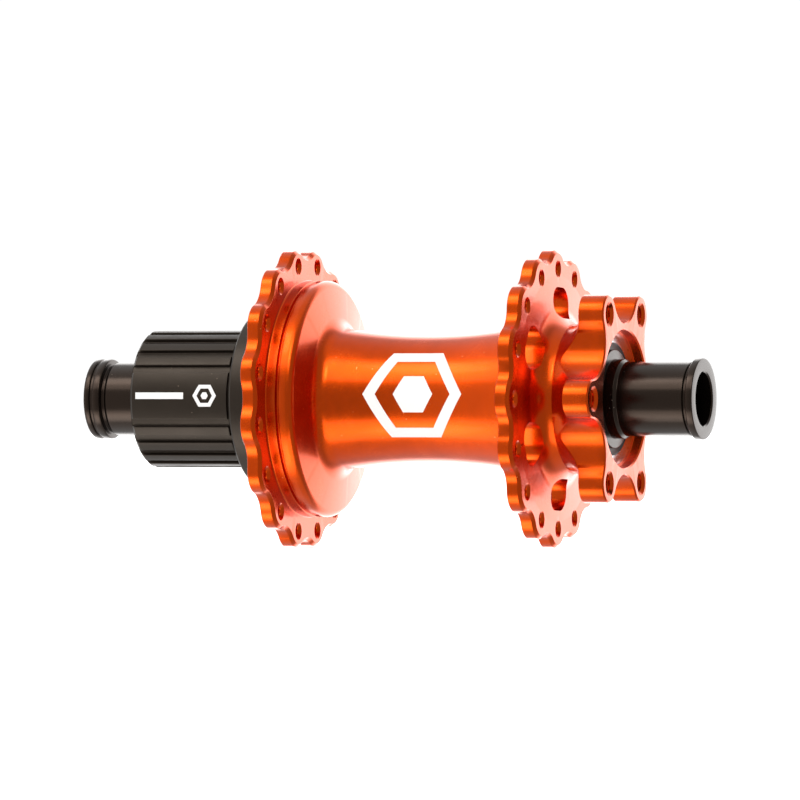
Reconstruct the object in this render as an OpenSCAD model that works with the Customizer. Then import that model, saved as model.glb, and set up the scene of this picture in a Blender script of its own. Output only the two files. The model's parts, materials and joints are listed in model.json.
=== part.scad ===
// Rear bicycle hub for a 12 mm through axle, with a six-bolt disc mount and a splined freehub.
// Millimetres. The axle lies along +Y, the cassette is at -Y and the brake disc at +Y.
// The origin is on the axle's centre line, midway between the two end faces.

/* [Hub] */
// Distance between the two end faces that the frame clamps
hub_length = 148; // [146:0.5:150]
// Diameter of the hole for the through axle
through_bore_d = 12.1; // [12.05:0.05:12.4]
// Diameter of the end caps' outer rims
cap_rim_d = 18.46; // [18:0.1:19]
// Diameter of the end caps' tubes
cap_tube_d = 16.8; // [16.4:0.1:17.2]

/* [Flanges] */
// Number of spoke holes in each flange
spokes_per_side = 16; // [14, 16, 18]
// Diameter of a spoke hole
spoke_hole_d = 2.6; // [2.4:0.1:2.8]
// Spoke hole circle of the drive-side flange
drive_pcd = 61.8; // [61:0.2:63]
// Spoke hole circle of the disc-side flange
disc_pcd = 59.1; // [58.5:0.2:60.5]
// Thickness of each flange
flange_t = 3.4; // [3:0.1:3.6]
// Place of the drive-side flange's outer face
drive_flange_y = -25.2; // [-25.3:0.05:-25.1]
// Place of the disc-side flange's outer face
disc_flange_y = 39.1; // [38.8:0.1:39.4]

/* [Shell] */
// Diameter of the drum around the ratchet
drum_d = 54.2; // [53.6:0.1:55]
// Diameter of the barrel at its waist
waist_d = 29.1; // [28.8:0.1:30]
// Place of the barrel's waist
waist_y = 8; // [7:0.5:9]
// Radius of the long curve of the barrel
waist_curve_r = 125; // [120:1:140]

/* [Disc mount] */
// Bolt circle of the brake disc
disc_bolt_pcd = 44; // [43.8:0.1:44.2]
// Diameter of a disc bolt hole
disc_bolt_d = 5; // [4.2:0.1:5.2]
// Place of the face that the brake disc sits on
disc_face_y = 55.23; // [55:0.05:55.5]
// Thickness of the six ears
ear_t = 6; // [5.5:0.1:6.5]

/* [Freehub] */
// Number of spline positions around the freehub
spline_count = 23; // [20:1:24]
// Outside diameter of the splines
spline_d = 31.5; // [31.4:0.05:31.8]
// Depth of the grooves between the splines
spline_depth = 0.85; // [0.6:0.05:0.9]
// Width of one spline, in degrees
spline_land = 9.4; // [8:0.2:10]
// Diameter of the freehub's smooth collar
collar_d = 40; // [39.6:0.05:40.05]

/* [Ratchet] */
// Number of teeth in the drive ring, a multiple of the six pawls
ring_teeth = 120; // [120]
// Radius of the ring's tooth tips
tooth_tip_r = 20.3; // [20.28:0.01:20.35]
// Radius of the ring's tooth roots
tooth_root_r = 21.1; // [21:0.02:21.3]
// How far a tooth's tip leans over its root, in degrees
tooth_undercut = 1.15; // [1.1:0.05:1.3]
// How far a pawl swings out from rest into a tooth gap, in degrees
pawl_swing = 6.5; // [6.5]

/* [Hidden] */

// Facets of a round shape
round_fn = 96;
// Thickness of metal that a cutter runs past a face
past = 1;
end_y = hub_length / 2;

// Cartridge bearings: [outboard end, width, outside radius, ball radius, number of balls]
race_bore_r = 8.5;
OUTBOARD = [-53, 5, 13, 1.19, 16];
INBOARD = [-24, 5, 13, 1.19, 16];
DRIVE = [-16.5, 7, 14, 1.55, 14];
DISC = [45.2, 7, 15, 1.8, 12];
function bearing_end(b) = b[0] + b[1];
function ball_circle_r(b) = (race_bore_r + b[2]) / 2;
// How far the race shoulders stand from the ball circle, as a share of the ball radius
shoulder_share = 0.6;
ball_clearance = 0.03;
cage_half_t = 0.3;
cage_side_t = 0.35;
seal_t = 0.5;
seal_inset = 0.3;
seal_gap = 0.12;

// Lobes of the two flanges
flange_lobe_r = 5.4;
drive_lobe_circle_r = drive_pcd / 2 - 1.8;
drive_valley_r = drive_pcd / 2 + 1.6;
disc_lobe_circle_r = disc_pcd / 2 - 1.1;
disc_valley_r = disc_pcd / 2 + 2.15;
// A lobe and the hollow beside it cross by this much, so that their arcs meet cleanly
lobe_overlap = 0.05;
rim_chamfer = 0.75;
rim_back_chamfer = 0.15;
countersink_d = spoke_hole_d + 1.4;

// Ears of the disc mount
ear_count = 6;
ear_lobe_r = 4.4;
ear_valley_r = 17.3;
ear_chamfer = 0.6;
disc_bolt_sink = 0.4;

// Shell: outer surface; the core is solid out to a small radius until it is bored
core_r = 1;
drum_corner_turn = 77;
barrel_steps = 24;
drum_groove_y = -19;
drum_groove_depth = 0.8;
drum_groove_half = 0.4;
drum_groove_floor_half = 0.2;
drum_corner_r = 2;
drum_end_y = -15.3;
barrel_start_y = -10.7;
barrel_root_r = 3.6;
barrel_end_y = 31.5;
barrel_end_root_r = disc_flange_y - flange_t - barrel_end_y;
neck_r = 16.8;
neck_root_r = 5;
neck_root_y = 44.5;
neck_swell_r = 27.8;
ear_back_r = 7;

// Shell: bores
drum_bore_r = 24;
drum_floor_y = -17.6;
freehub_room_r = 20.5;
freehub_room_y = -17;
seal_seat_r = 24.2;
seal_seat_t = 1.3;
drive_seal_t = 1.1;
lip_gap = 0.08;
lip_height = 0.42;
lip_half = 0.15;
barrel_bore_r = 12.3;
disc_mouth_r = 15.6;
disc_mouth_y = 52.8;

// Lightening pockets between the disc ears
pocket_circle_r = 21.8;
pocket_end_r = 3.6;
pocket_half_span = 1.6;
pocket_turn = -2.1;
pocket_stop_y = 42.6;

// Freehub
freehub_face_y = -59.77;
freehub_chamfer = 0.7;
spline_end_y = -35.8;
relief_end_y = -34.6;
collar_start_y = -33.6;
collar_end_y = -18.3;
freehub_end_y = -17.9;
wide_land_centre = -2.7;
spline_root_r = spline_d / 2 - spline_depth;
lockring_bore_r = 14.1;
lockring_depth = 5.7;
freehub_bore_r = 12;
collar_edge = 0.4;
pocket_floor_gap = 0.1;
retainer_inset = 0.2;

// Pawls: one is drawn in a tooth gap and then swung back to rest
pawl_count = 6;
pawl_pivot_r = 17.4;
pawl_heel_r = 1.6;
pawl_heel_clearance = 0.05;
pawl_tip_r = 20.9;
pawl_tip_angle = 20.85;
pawl_start_y = -23.4;
pawl_end_y = -18.45;
spring_t = 0.25;
spring_inset = 0.5;

// Axle and end caps
axle_bore_r = 7.3;
spacer_r = 9.7;
axle_setback = 0.3;
axle_shoulder_r = 9.75;
axle_shoulder_t = 3;
axle_edge = 0.3;
axle_waist_r = 9.1;
spigot_r = 7.25;
spigot_length = 10.8;
cap_bore_r = through_bore_d / 2;
cap_foot_r = 9.7;
o_ring_r = 0.4;
o_ring_circle_r = 6.87;
o_ring_setback = 6;
o_ring_gap = 0.1;
cap_edge = 0.4;
bore_edge = 0.3;
drive_groove_start = 1.4;
drive_groove_end = 2.2;
rim_groove_depth = 0.45;
drive_rim_t = 4;
disc_rim_t = 1.7;
neck_groove_depth = 0.5;
neck_groove_t = 0.9;
foot_t = 1.5;
disc_foot_start_y = 55.2;
disc_foot_end_y = 56.4;
disc_shield_r = 11.2;
disc_shield_t = 0.6;

ORANGE = "#e8500a";
BLACK = "#262422";
STEEL = "#b9bcc0";
RUBBER = "#161616";
CAGE = "#c9b48a";
SPRING_STEEL = "#8f9296";

// Point at a radius and an angle
function polar(r, a) = [r * cos(a), r * sin(a)];

// Points of an arc about [cx, cy] from angle a0 to a1
function arc(cx, cy, r, a0, a1, steps = 12) =
    [for (i = [0 : steps]) [cx, cy] + polar(r, a0 + (a1 - a0) * i / steps)];

// Turns local +Z, the profile's height, into the hub's +Y
module along_axle() {
    rotate([-90, 0, 0]) children();
}

// A solid turned about the axle from a profile of [radius, y] points
module turned(profile) {
    along_axle() rotate_extrude($fn = round_fn) polygon(profile);
}

// A plain tube about the axle from y0 to y1
module tube(outer_r, inner_r, y0, y1) {
    turned([[inner_r, y0], [outer_r, y0], [outer_r, y1], [inner_r, y1]]);
}

// Radius at which the hollows between lobes are centred, so that hollow and lobe arcs meet
function hollow_circle_r(count, lobe_circle_r, lobe_r, valley_r) =
    (pow(lobe_circle_r, 2) - pow(valley_r - lobe_r, 2))
    / (2 * (lobe_circle_r * cos(180 / count) - (valley_r - lobe_r)));

// Outline with rounded lobes and hollows, the first lobe at the angle `phase`
module lobed_outline(count, lobe_circle_r, lobe_r, valley_r, phase) {
    step = 360 / count;
    hollow_r = hollow_circle_r(count, lobe_circle_r, lobe_r, valley_r);
    difference() {
        union() {
            polygon([for (i = [0 : count - 1]) each [
                polar(lobe_circle_r, phase + i * step),
                polar(hollow_r, phase + (i + 0.5) * step)]]);
            for (i = [0 : count - 1])
                translate(polar(lobe_circle_r, phase + i * step)) circle(r = lobe_r, $fn = 48);
        }
        for (i = [0 : count - 1])
            translate(polar(hollow_r, phase + (i + 0.5) * step))
                circle(r = hollow_r - valley_r + lobe_overlap, $fn = 96);
    }
}

// A flange between y0 and y0 + flange_t, with its lobe tips turned to a chamfer
module flange(y0, lobe_circle_r, valley_r, phase) {
    tip_r = lobe_circle_r + flange_lobe_r;
    intersection() {
        along_axle() translate([0, 0, y0]) linear_extrude(flange_t)
            lobed_outline(spokes_per_side, lobe_circle_r, flange_lobe_r, valley_r, phase);
        turned([[0, y0 - past], [tip_r - rim_back_chamfer - past, y0 - past],
            [tip_r + 0.01, y0 + rim_back_chamfer], [tip_r + 0.01, y0 + flange_t - rim_chamfer],
            [tip_r - rim_chamfer - past, y0 + flange_t + past], [0, y0 + flange_t + past]]);
    }
}

// The cutters of one flange's spoke holes, countersunk on both faces
module spoke_holes(y0, pcd, phase) {
    sink = (countersink_d - spoke_hole_d) / 2;
    for (i = [0 : spokes_per_side - 1]) along_axle() rotate(phase + i * 360 / spokes_per_side)
        translate([pcd / 2, 0, y0]) {
            translate([0, 0, -past]) cylinder(d = spoke_hole_d, h = flange_t + 2 * past, $fn = 32);
            translate([0, 0, flange_t - sink])
                cylinder(d1 = spoke_hole_d, d2 = countersink_d + 2 * past, h = sink + past, $fn = 32);
            translate([0, 0, -past])
                cylinder(d1 = countersink_d + 2 * past, d2 = spoke_hole_d, h = sink + past, $fn = 32);
        }
}

// The shell's outside without its flanges and ears
module shell_body() {
    drum_r = drum_d / 2;
    waist_r = waist_d / 2;
    groove_r = drum_r - drum_groove_depth;
    turned(concat(
        [[core_r, drive_flange_y], [drum_r, drive_flange_y],
        [drum_r, drum_groove_y - drum_groove_half],
        [groove_r, drum_groove_y - drum_groove_floor_half],
        [groove_r, drum_groove_y + drum_groove_floor_half],
        [drum_r, drum_groove_y + drum_groove_half]],
        arc(drum_r - drum_corner_r, drum_end_y - drum_corner_r, drum_corner_r, 0, drum_corner_turn),
        arc(barrel_start_r() + barrel_root_r, barrel_start_y, barrel_root_r, 270, 180),
        [for (i = [1 : barrel_steps - 1]) barrel_point(i / barrel_steps)],
        arc(barrel_end_r() + barrel_end_root_r, barrel_end_y, barrel_end_root_r, 180, 90),
        [[neck_swell_r, disc_flange_y - flange_t], [neck_swell_r, disc_flange_y]],
        arc(neck_r + neck_root_r, neck_root_y, neck_root_r, 270, 180),
        [[neck_r, disc_face_y - ear_chamfer], [neck_r - ear_chamfer, disc_face_y],
        [core_r, disc_face_y]]));
}

// Radius of the barrel's long curve at y
function barrel_r(y) = waist_d / 2 + waist_curve_r - sqrt(pow(waist_curve_r, 2) - pow(y - waist_y, 2));
function barrel_start_r() = barrel_r(barrel_start_y);
function barrel_end_r() = barrel_r(barrel_end_y);
function barrel_point(share) =
    let (y = barrel_start_y + (barrel_end_y - barrel_start_y) * share) [barrel_r(y), y];

// Six ears that carry the brake disc, their backs turned to a curve
module disc_ears() {
    ear_tip_r = disc_bolt_pcd / 2 + ear_lobe_r;
    back_y = disc_face_y - ear_t;
    intersection() {
        along_axle() translate([0, 0, back_y - ear_back_r]) linear_extrude(ear_t + ear_back_r)
            lobed_outline(ear_count, disc_bolt_pcd / 2, ear_lobe_r, ear_valley_r, 0);
        turned(concat([[0, back_y - ear_back_r]],
            arc(neck_r + ear_back_r, back_y - ear_back_r, ear_back_r, 180, 90),
            [[ear_tip_r + past, back_y], [ear_tip_r + past, disc_face_y - ear_chamfer - past],
            [ear_tip_r - ear_chamfer, disc_face_y], [0, disc_face_y]]));
    }
}

// The cutters of the six disc bolt holes, countersunk at the face
module disc_bolt_holes() {
    sink = disc_bolt_sink;
    for (i = [0 : ear_count - 1]) along_axle() rotate(i * 360 / ear_count)
        translate([disc_bolt_pcd / 2, 0, disc_face_y]) {
            translate([0, 0, -ear_t - past])
                cylinder(d = disc_bolt_d, h = ear_t + 2 * past, $fn = 48);
            translate([0, 0, -sink])
                cylinder(d1 = disc_bolt_d, d2 = disc_bolt_d + 2 * (sink + past), h = sink + past,
                    $fn = 48);
        }
}

// The cutters of the pockets that lighten the flange behind the gaps between the ears
module lightening_pockets() {
    y0 = disc_flange_y - flange_t - past;
    for (i = [0 : ear_count - 1]) along_axle() rotate((i + 0.5) * 360 / ear_count + pocket_turn)
        translate([pocket_circle_r, 0, y0]) linear_extrude(pocket_stop_y - y0) {
            for (side = [-1, 1])
                translate([0, side * pocket_half_span]) circle(r = pocket_end_r, $fn = 48);
            square([2 * pocket_end_r, 2 * pocket_half_span], center = true);
        }
}

// All that is bored out of the shell along its axis
module shell_bores() {
    turned([[0, drive_flange_y - past], [seal_seat_r, drive_flange_y - past],
        [seal_seat_r, drive_flange_y + seal_seat_t], [drum_bore_r, drive_flange_y + seal_seat_t],
        [drum_bore_r, drum_floor_y], [freehub_room_r, drum_floor_y],
        [freehub_room_r, freehub_room_y], [DRIVE[2], freehub_room_y],
        [DRIVE[2], bearing_end(DRIVE)], [barrel_bore_r, bearing_end(DRIVE)],
        [barrel_bore_r, DISC[0]], [DISC[2], DISC[0]],
        [DISC[2], disc_mouth_y], [disc_mouth_r, disc_mouth_y],
        [disc_mouth_r, disc_face_y - ear_chamfer / 2],
        [disc_mouth_r + ear_chamfer / 2 + past, disc_face_y + past], [0, disc_face_y + past]]);
}

module hub_shell() {
    half_pitch = 180 / spokes_per_side;
    color(ORANGE) difference() {
        union() {
            shell_body();
            flange(drive_flange_y, drive_lobe_circle_r, drive_valley_r, half_pitch);
            flange(disc_flange_y - flange_t, disc_lobe_circle_r, disc_valley_r, 0);
            disc_ears();
        }
        shell_bores();
        spoke_holes(drive_flange_y, drive_pcd, half_pitch);
        spoke_holes(disc_flange_y - flange_t, disc_pcd, 0);
        lightening_pockets();
        disc_bolt_holes();
    }
}

// Toothed steel ring screwed into the drum; every tooth has one undercut face and one ramp
module drive_ring() {
    pitch = 360 / ring_teeth;
    color(STEEL) along_axle() translate([0, 0, drive_flange_y + seal_seat_t])
        linear_extrude(drum_floor_y - drive_flange_y - seal_seat_t) difference() {
            circle(r = drum_bore_r, $fn = round_fn);
            polygon([for (i = [0 : ring_teeth - 1]) each [
                polar(tooth_root_r, i * pitch),
                polar(tooth_tip_r, i * pitch + tooth_undercut)]]);
        }
}

// Lip seal between the shell's mouth and the freehub's collar
module drive_seal() {
    lip_r = collar_d / 2 + lip_gap;
    body_r = lip_r + lip_height;
    y0 = drive_flange_y + seal_seat_t - drive_seal_t;
    y1 = drive_flange_y + seal_seat_t;
    middle = (y0 + y1) / 2;
    color(RUBBER) turned([[body_r, y0], [seal_seat_r, y0], [seal_seat_r, y1], [body_r, y1],
        [lip_r, middle + lip_half], [lip_r, middle - lip_half]]);
}

// Sector of a disc between two angles, less than a half turn apart
module sector(r, a0, a1) {
    far = r / cos((a1 - a0) / 2);
    polygon([[0, 0], polar(far, a0), polar(far, (a0 + a1) / 2), polar(far, a1)]);
}

// The splines' outline: narrow lands all round and one wide land three positions across
module spline_outline() {
    pitch = 360 / spline_count;
    intersection() {
        circle(d = spline_d, $fn = round_fn);
        union() {
            circle(r = spline_root_r, $fn = round_fn);
            sector(spline_d / 2, wide_land_centre - pitch - spline_land / 2,
                wide_land_centre + pitch + spline_land / 2);
            for (i = [2 : spline_count - 2])
                sector(spline_d / 2, wide_land_centre + i * pitch - spline_land / 2,
                    wide_land_centre + i * pitch + spline_land / 2);
        }
    }
}

module splined_barrel() {
    clear_r = spline_d / 2 + 0.1;
    intersection() {
        along_axle() translate([0, 0, freehub_face_y])
            linear_extrude(collar_start_y - freehub_face_y) spline_outline();
        turned([[0, freehub_face_y], [spline_d / 2 - freehub_chamfer, freehub_face_y],
            [clear_r, freehub_face_y + freehub_chamfer + 0.1],
            [clear_r, spline_end_y], [spline_root_r, spline_end_y],
            [spline_root_r, relief_end_y], [clear_r, relief_end_y],
            [clear_r, collar_start_y], [0, collar_start_y]]);
    }
}

// Outline of one pawl in a tooth gap, its heel's centre at the pivot
module engaged_pawl() {
    translate([pawl_pivot_r, 0]) circle(r = pawl_heel_r, $fn = 48);
    polygon([[pawl_pivot_r, -1.2], [18.9, 0.4], polar(19.7, 12), polar(19.95, 18.8),
        polar(pawl_tip_r, pawl_tip_angle), polar(18.9, pawl_tip_angle), polar(17.6, 14),
        polar(16.5, 6), [16, 0]]);
}

// Outline of a pawl turned back from the tooth gap by an angle
module pawl_outline(turned_back) {
    translate([pawl_pivot_r, 0]) rotate(turned_back) translate([-pawl_pivot_r, 0]) engaged_pawl();
}

// Room for one pawl and its spring in the freehub's collar
module pawl_pocket() {
    translate([pawl_pivot_r, 0])
        circle(r = pawl_heel_r + pawl_heel_clearance, $fn = 48);
    polygon([[pawl_pivot_r, 0], polar(22, 4), polar(22, 24.5), polar(15.4, 24.5), polar(15.4, 16),
        polar(15.5, 8), [15.7, 0.3]]);
}

module freehub_body() {
    collar_r = collar_d / 2;
    color(BLACK) difference() {
        union() {
            splined_barrel();
            turned([[0, collar_start_y - past], [spline_root_r - past, collar_start_y - past],
                [spline_root_r - past, collar_start_y], [collar_r - collar_edge, collar_start_y],
                [collar_r, collar_start_y + collar_edge], [collar_r, collar_end_y],
                [0, collar_end_y]]);
        }
        turned([[0, freehub_face_y - past], [lockring_bore_r, freehub_face_y - past],
            [lockring_bore_r, freehub_face_y + lockring_depth],
            [OUTBOARD[2], freehub_face_y + lockring_depth],
            [OUTBOARD[2], bearing_end(OUTBOARD)], [freehub_bore_r, bearing_end(OUTBOARD)],
            [freehub_bore_r, INBOARD[0]], [INBOARD[2], INBOARD[0]],
            [INBOARD[2], collar_end_y + past], [0, collar_end_y + past]]);
        for (i = [0 : pawl_count - 1]) along_axle() rotate(i * 360 / pawl_count)
            translate([0, 0, pawl_start_y - pocket_floor_gap])
                linear_extrude(collar_end_y - pawl_start_y + past)
                pawl_pocket();
    }
}

// Thin plate that closes the pawl pockets
module pawl_retainer() {
    color(BLACK) tube(collar_d / 2 - retainer_inset, INBOARD[2] - retainer_inset,
        collar_end_y, freehub_end_y);
}

// Pawl number 0 to 5, at rest just under the tooth tips
module pawl(index) {
    color(STEEL) along_axle() rotate(index * 360 / pawl_count) translate([0, 0, pawl_start_y])
        linear_extrude(pawl_end_y - pawl_start_y) pawl_outline(pawl_swing);
}

// Outline of a leaf spring: flat along the pocket's floor, then folded back up under the pawl
module spring_outline() {
    polygon([polar(15.5, 24.3), polar(15.5, 23), polar(15.55, 14), polar(15.7, 9),
        polar(15.7 + spring_t, 9), polar(15.55 + spring_t, 14), polar(15.9, 18),
        polar(16.6, 22), polar(16.85, 21), polar(16.95, 22.2), polar(15.9, 23.6),
        polar(15.5 + spring_t, 24.3)]);
}

// Six bent leaf springs, one on the floor of each pawl pocket
module pawl_springs() {
    color(SPRING_STEEL) for (i = [0 : pawl_count - 1]) along_axle() rotate(i * 360 / pawl_count)
        translate([0, 0, pawl_start_y + spring_inset])
            linear_extrude(pawl_end_y - pawl_start_y - 2 * spring_inset)
            spring_outline();
}

module axle() {
    y0 = OUTBOARD[0] + axle_setback;
    y1 = bearing_end(DISC) - axle_setback;
    shoulder_y = bearing_end(DRIVE);
    color(STEEL) turned([[axle_bore_r, y0], [race_bore_r - axle_edge, y0],
        [race_bore_r, y0 + axle_edge], [race_bore_r, shoulder_y], [axle_shoulder_r, shoulder_y],
        [axle_shoulder_r, shoulder_y + axle_shoulder_t],
        [axle_waist_r, shoulder_y + 2 * axle_shoulder_t],
        [axle_waist_r, DISC[0] - 2 * axle_shoulder_t],
        [axle_shoulder_r, DISC[0] - axle_shoulder_t], [axle_shoulder_r, DISC[0]],
        [race_bore_r, DISC[0]], [race_bore_r, y1 - axle_edge],
        [race_bore_r - axle_edge, y1], [axle_bore_r, y1]]);
}

// Profile of a cap's spigot beyond its foot at `foot_y`, with its O-ring groove; `way` points inwards
function spigot_profile(foot_y, way) =
    let (ring_y = foot_y + way * o_ring_setback, tip_y = foot_y + way * spigot_length,
        floor_r = o_ring_circle_r - o_ring_r - o_ring_gap / 2, half = o_ring_r + o_ring_gap)
    [[spigot_r, foot_y], [spigot_r, ring_y - way * half], [floor_r, ring_y - way * half],
        [floor_r, ring_y + way * half], [spigot_r, ring_y + way * half],
        [spigot_r, tip_y - way * bore_edge], [spigot_r - bore_edge, tip_y], [cap_bore_r, tip_y]];

module drive_end_cap() {
    rim_r = cap_rim_d / 2;
    tube_r = cap_tube_d / 2;
    color(BLACK) turned(concat(
        [[cap_bore_r + bore_edge, -end_y], [rim_r - cap_edge, -end_y], [rim_r, -end_y + cap_edge],
        [rim_r, -end_y + drive_groove_start], [rim_r - rim_groove_depth, -end_y + drive_groove_start],
        [rim_r - rim_groove_depth, -end_y + drive_groove_end], [rim_r, -end_y + drive_groove_end],
        [rim_r, -end_y + drive_rim_t], [tube_r - neck_groove_depth, -end_y + drive_rim_t],
        [tube_r - neck_groove_depth, -end_y + drive_rim_t + neck_groove_t],
        [tube_r, -end_y + drive_rim_t + neck_groove_t + neck_groove_depth],
        [tube_r, OUTBOARD[0] - foot_t], [cap_foot_r, OUTBOARD[0] - foot_t],
        [cap_foot_r, OUTBOARD[0]]],
        spigot_profile(OUTBOARD[0], 1),
        [[cap_bore_r, -end_y + bore_edge]]));
}

module disc_end_cap() {
    rim_r = cap_rim_d / 2;
    tube_r = cap_tube_d / 2;
    foot_y = bearing_end(DISC);
    color(BLACK) turned(concat(
        [[cap_bore_r + bore_edge, end_y], [rim_r - cap_edge, end_y], [rim_r, end_y - cap_edge],
        [rim_r, end_y - disc_rim_t], [tube_r - neck_groove_depth, end_y - disc_rim_t],
        [tube_r - neck_groove_depth, end_y - disc_rim_t - neck_groove_t],
        [tube_r, end_y - disc_rim_t - neck_groove_t]],
        [[tube_r, disc_foot_end_y], [cap_foot_r, disc_foot_start_y],
        [cap_foot_r, foot_y + disc_shield_t], [disc_shield_r, foot_y + disc_shield_t],
        [disc_shield_r, foot_y]],
        spigot_profile(foot_y, -1),
        [[cap_bore_r, end_y - bore_edge]]));
}

// O-ring that holds a cap in the axle by friction
module cap_o_ring(y) {
    color(RUBBER) along_axle() translate([0, 0, y]) rotate_extrude($fn = round_fn)
        translate([o_ring_circle_r, 0]) circle(r = o_ring_r, $fn = 24);
}

module drive_cap_o_ring() {
    cap_o_ring(OUTBOARD[0] + o_ring_setback);
}

module disc_cap_o_ring() {
    cap_o_ring(bearing_end(DISC) - o_ring_setback);
}

// Tubes that hold the inner races apart on the axle
module freehub_spacer() {
    color(STEEL) tube(spacer_r, race_bore_r, bearing_end(OUTBOARD), INBOARD[0]);
}

module middle_spacer() {
    color(STEEL) tube(spacer_r, race_bore_r, bearing_end(INBOARD), DRIVE[0]);
}

// The round groove that the balls run in, as a profile
module raceway(b) {
    translate([ball_circle_r(b), b[0] + b[1] / 2]) circle(r = b[3] + ball_clearance, $fn = 48);
}

// One race between two radii, grooved for the balls
module race(b, inner_r, outer_r) {
    color(STEEL) along_axle() rotate_extrude($fn = round_fn) difference() {
        translate([inner_r, b[0]]) square([outer_r - inner_r, b[1]]);
        raceway(b);
    }
}

module inner_race(b) {
    race(b, race_bore_r, ball_circle_r(b) - shoulder_share * b[3]);
}

module outer_race(b) {
    race(b, ball_circle_r(b) + shoulder_share * b[3], b[2]);
}

// The bearing's balls, evenly spaced on their circle
module balls(b) {
    color(STEEL) for (i = [0 : b[4] - 1]) along_axle() rotate(i * 360 / b[4])
        translate([ball_circle_r(b), 0, b[0] + b[1] / 2]) sphere(r = b[3], $fn = 32);
}

// Ring between the races with a round window for each ball
module cage(b) {
    middle = b[0] + b[1] / 2;
    half_width = b[3] + cage_side_t;
    color(CAGE) difference() {
        tube(ball_circle_r(b) + cage_half_t, ball_circle_r(b) - cage_half_t,
            middle - half_width, middle + half_width);
        for (i = [0 : b[4] - 1]) along_axle() rotate(i * 360 / b[4])
            translate([ball_circle_r(b) - cage_half_t - past, 0, middle]) rotate([0, 90, 0])
                cylinder(r = b[3] + 2 * ball_clearance, h = 2 * (cage_half_t + past), $fn = 32);
    }
}

// The two rubber shields, held by the outer race and clear of the inner one
module seals(b) {
    inner_r = ball_circle_r(b) - shoulder_share * b[3] + seal_gap;
    outer_r = ball_circle_r(b) + shoulder_share * b[3];
    color(RUBBER) {
        tube(outer_r, inner_r, b[0] + seal_inset, b[0] + seal_inset + seal_t);
        tube(outer_r, inner_r, bearing_end(b) - seal_inset - seal_t, bearing_end(b) - seal_inset);
    }
}

hub_shell();
drive_ring();
drive_seal();
freehub_body();
pawl_retainer();
pawl_springs();
pawl(0);  // pawl_1
pawl(1);  // pawl_2
pawl(2);  // pawl_3
pawl(3);  // pawl_4
pawl(4);  // pawl_5
pawl(5);  // pawl_6
axle();
drive_end_cap();
disc_end_cap();
drive_cap_o_ring();
disc_cap_o_ring();
freehub_spacer();
middle_spacer();
inner_race(OUTBOARD);  // outboard_bearing_inner_race
outer_race(OUTBOARD);  // outboard_bearing_outer_race
balls(OUTBOARD);  // outboard_bearing_balls
cage(OUTBOARD);  // outboard_bearing_cage
seals(OUTBOARD);  // outboard_bearing_seals
inner_race(INBOARD);  // inboard_bearing_inner_race
outer_race(INBOARD);  // inboard_bearing_outer_race
balls(INBOARD);  // inboard_bearing_balls
cage(INBOARD);  // inboard_bearing_cage
seals(INBOARD);  // inboard_bearing_seals
inner_race(DRIVE);  // drive_bearing_inner_race
outer_race(DRIVE);  // drive_bearing_outer_race
balls(DRIVE);  // drive_bearing_balls
cage(DRIVE);  // drive_bearing_cage
seals(DRIVE);  // drive_bearing_seals
inner_race(DISC);  // disc_bearing_inner_race
outer_race(DISC);  // disc_bearing_outer_race
balls(DISC);  // disc_bearing_balls
cage(DISC);  // disc_bearing_cage
seals(DISC);  // disc_bearing_seals
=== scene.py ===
import json
import math

import bmesh
import bpy
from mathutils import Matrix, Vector


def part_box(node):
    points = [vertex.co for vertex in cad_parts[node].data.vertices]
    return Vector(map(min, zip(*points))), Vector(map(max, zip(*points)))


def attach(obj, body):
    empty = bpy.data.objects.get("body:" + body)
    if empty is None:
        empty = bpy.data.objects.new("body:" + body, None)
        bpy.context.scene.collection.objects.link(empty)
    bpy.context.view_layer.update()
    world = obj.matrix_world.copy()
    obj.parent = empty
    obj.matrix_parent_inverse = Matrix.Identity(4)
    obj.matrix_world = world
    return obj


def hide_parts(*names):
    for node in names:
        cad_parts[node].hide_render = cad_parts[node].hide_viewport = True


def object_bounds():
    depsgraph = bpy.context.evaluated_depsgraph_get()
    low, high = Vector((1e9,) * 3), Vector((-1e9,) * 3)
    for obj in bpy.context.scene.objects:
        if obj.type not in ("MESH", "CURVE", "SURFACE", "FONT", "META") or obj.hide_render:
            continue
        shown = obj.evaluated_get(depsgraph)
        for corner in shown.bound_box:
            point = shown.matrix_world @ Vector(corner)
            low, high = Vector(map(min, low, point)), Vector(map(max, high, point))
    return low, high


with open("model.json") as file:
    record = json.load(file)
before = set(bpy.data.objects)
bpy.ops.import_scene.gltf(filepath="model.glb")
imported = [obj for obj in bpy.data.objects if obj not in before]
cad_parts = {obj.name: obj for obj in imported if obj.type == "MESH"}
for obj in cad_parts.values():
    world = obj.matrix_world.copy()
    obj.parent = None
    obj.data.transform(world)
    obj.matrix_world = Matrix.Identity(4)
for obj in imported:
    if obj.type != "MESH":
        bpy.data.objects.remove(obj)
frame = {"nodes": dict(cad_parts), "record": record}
cad_box = [list(corner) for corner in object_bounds()]

# Sizes are in millimetres, in the hub's own frame: the axle along Y, radii from the axle.
MM = 0.001


def low(node):
    """Where a CAD node starts along the axle, in millimetres."""
    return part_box(node)[0].y / MM


def high(node):
    """Where a CAD node ends along the axle, in millimetres."""
    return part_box(node)[1].y / MM


def radius(node):
    """Largest distance that a CAD node reaches from the axle along X, in millimetres."""
    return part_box(node)[1].x / MM


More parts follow.
